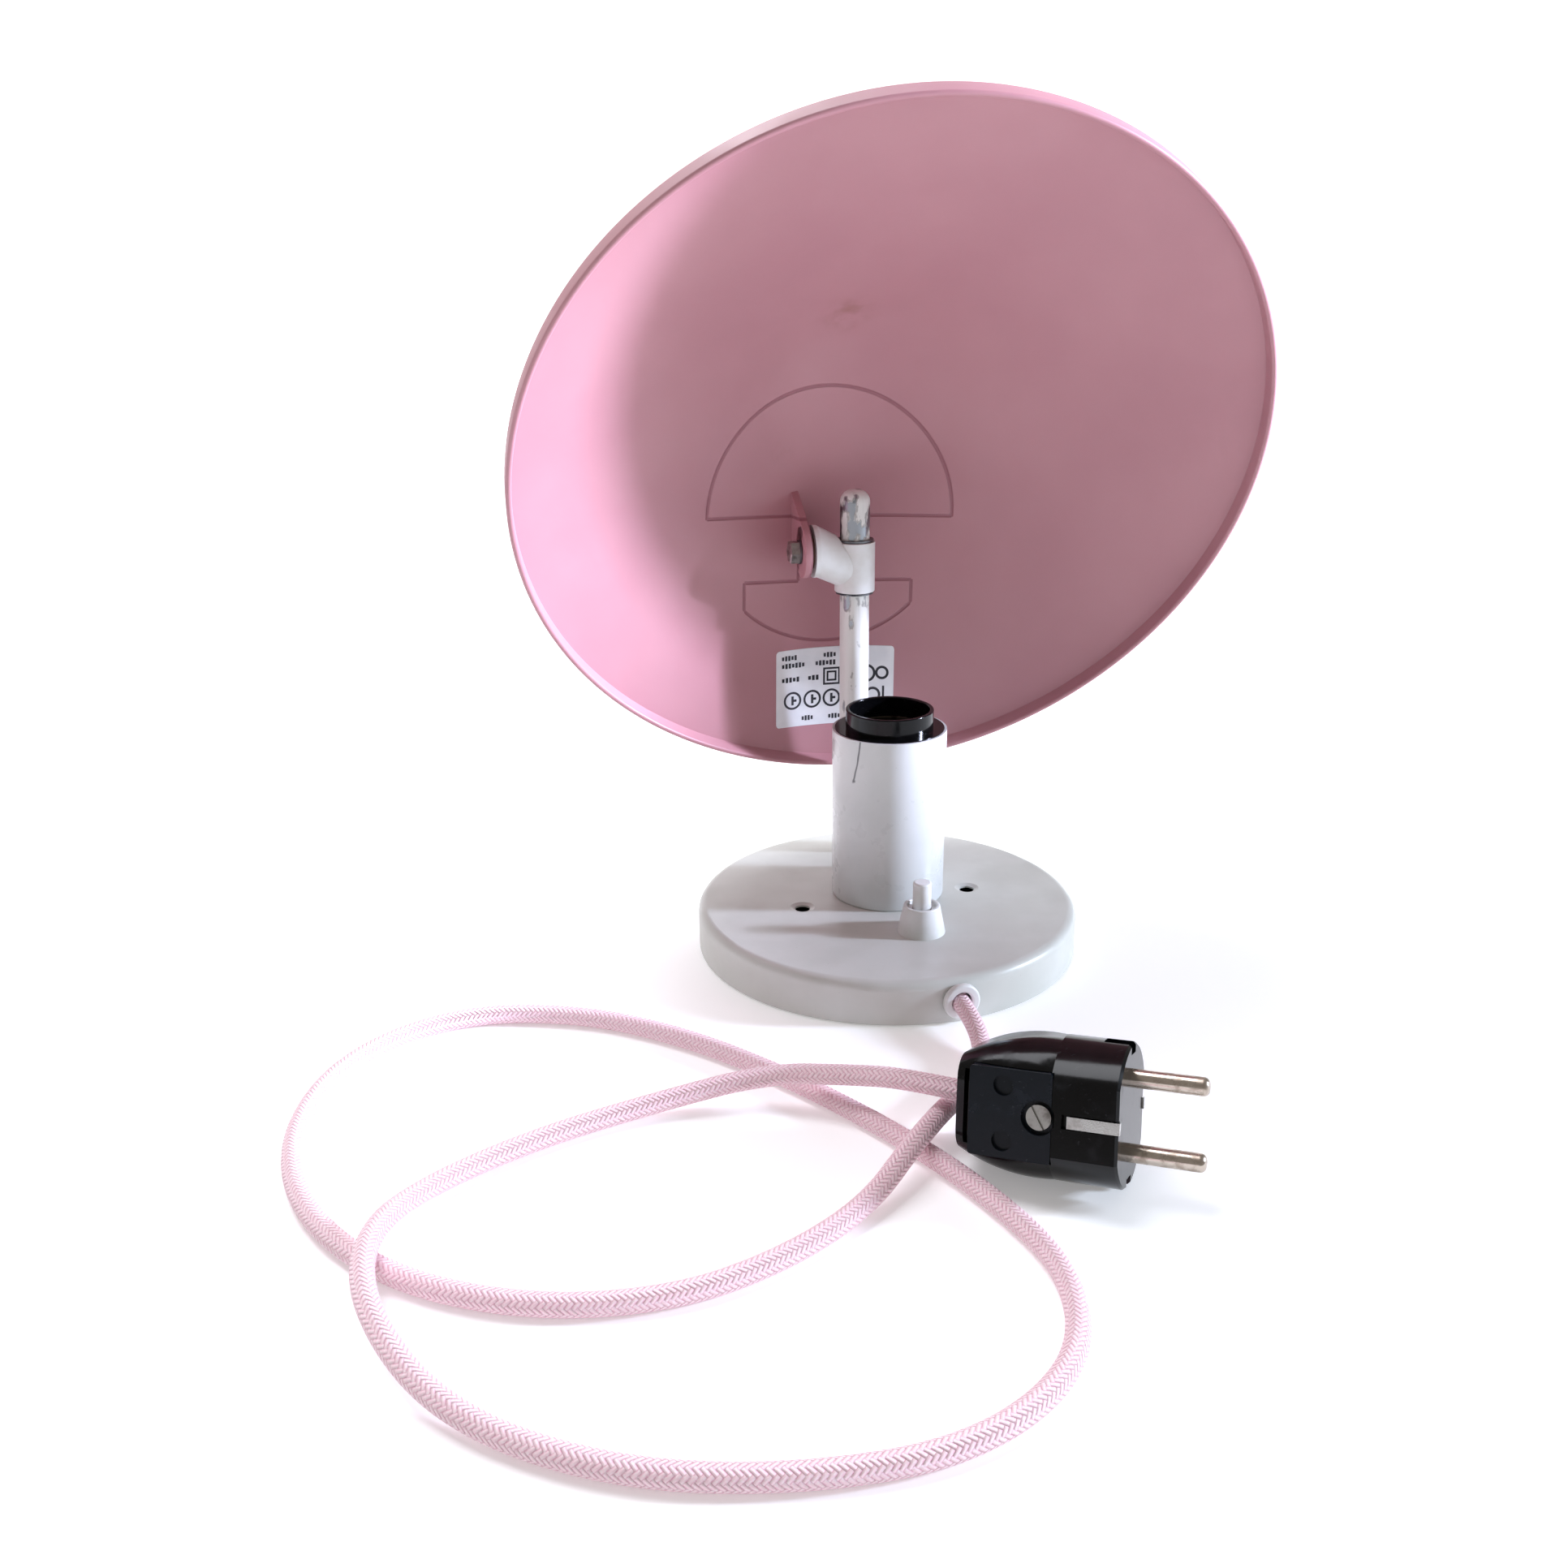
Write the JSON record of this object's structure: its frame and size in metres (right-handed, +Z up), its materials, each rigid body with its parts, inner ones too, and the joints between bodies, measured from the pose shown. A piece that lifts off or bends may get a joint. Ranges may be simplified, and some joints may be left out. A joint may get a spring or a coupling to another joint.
{
  "type": "table lamp with tilting reflector shade",
  "caption": "Small table lamp: round base, bare screw lampholder in a white sleeve, push switch, side stem with a tilting wide pink reflector shade, textile cord with earthed plug",
  "frame": {"origin": "centre of the underside of the round base, on the surface that the lamp stands on", "axes": "+Z up, -Y front where the switch and the cord exit are, +X to the right seen from the front"},
  "size_m": [0.3236, 0.3039, 0.2682],
  "materials": {
    "cover_paint": "satin off-white stove enamel",
    "sleeve_paint": "satin off-white stove enamel",
    "stem_paint": "off-white enamel worn to bare steel",
    "pink_plastic": "matte moulded pastel pink",
    "white_plastic": "white moulded",
    "black_bakelite": "polished black phenolic",
    "felt": "needle felt",
    "steel": "zinc plated",
    "spring_steel": "spring steel",
    "cast_ballast": "rough casting",
    "brass": "stamped brass",
    "nickel": "worn nickel plate",
    "ceramic": "glazed steatite",
    "label_paper": "printed plain label",
    "wire_jacket": "wire insulation",
    "pink_braid": "braided textile"
  },
  "bodies": {
    "lamp": {"base_cover": "cover_paint", "base_pad": "felt", "bottom_plate": "steel", "ballast_disc": "cast_ballast", "cord_grommet": "white_plastic", "cord_clamp": "white_plastic", "clamp_screws": "steel", "terminal_block": "white_plastic", "terminal_screws": "brass", "supply_cores": "wire_jacket", "switch_wires": "wire_jacket", "holder_wires": "wire_jacket", "switch_body": "black_bakelite", "switch_collar": "white_plastic", "holder_nipple": "steel", "nipple_nuts": "steel", "holder_sleeve": "sleeve_paint", "holder_body": "black_bakelite", "holder_insert": "ceramic", "centre_contact": "brass", "thread_shell": "brass", "holder_ring": "black_bakelite", "stem_rod": "stem_paint", "stem_washer": "steel", "stem_nut": "steel", "plug_body": "black_bakelite", "plug_lid": "black_bakelite", "plug_screw": "steel", "plug_pins": "nickel", "pin_terminals": "brass", "earth_clips": "nickel", "cord": "pink_braid"},
    "button": {"switch_button": "white_plastic"},
    "carrier": {"clip_bush": "spring_steel"},
    "clip": {"stem_clip": "white_plastic", "friction_washer": "wire_jacket", "spring_washer": "spring_steel", "hinge_screw": "steel"},
    "shade": {"shade": "pink_plastic", "rating_label": "label_paper"}
  },
  "joints": [
    {"name": "switch_press", "type": "slide", "parent": "lamp", "child": "button", "axis": [0, 0, -1], "range_m": [0, 0.0025], "stiffness_N_per_m": 400, "springref_m": -0.002},
    {"name": "clip_slide", "type": "slide", "parent": "lamp", "child": "carrier", "axis": [0, 0, 1], "range_m": [-0.015, 0.014]},
    {"name": "clip_swivel", "type": "hinge", "parent": "carrier", "child": "clip", "pos_m": [0.0027, 0.047, 0.1222], "axis": [0, 0, 1], "range_deg": [-25, 25]},
    {"name": "shade_tilt", "type": "hinge", "parent": "clip", "child": "shade", "pos_m": [0.0027, 0.047, 0.128], "axis": [0.998, -0.0628, 0], "range_deg": [-1, 12]}
  ]
}
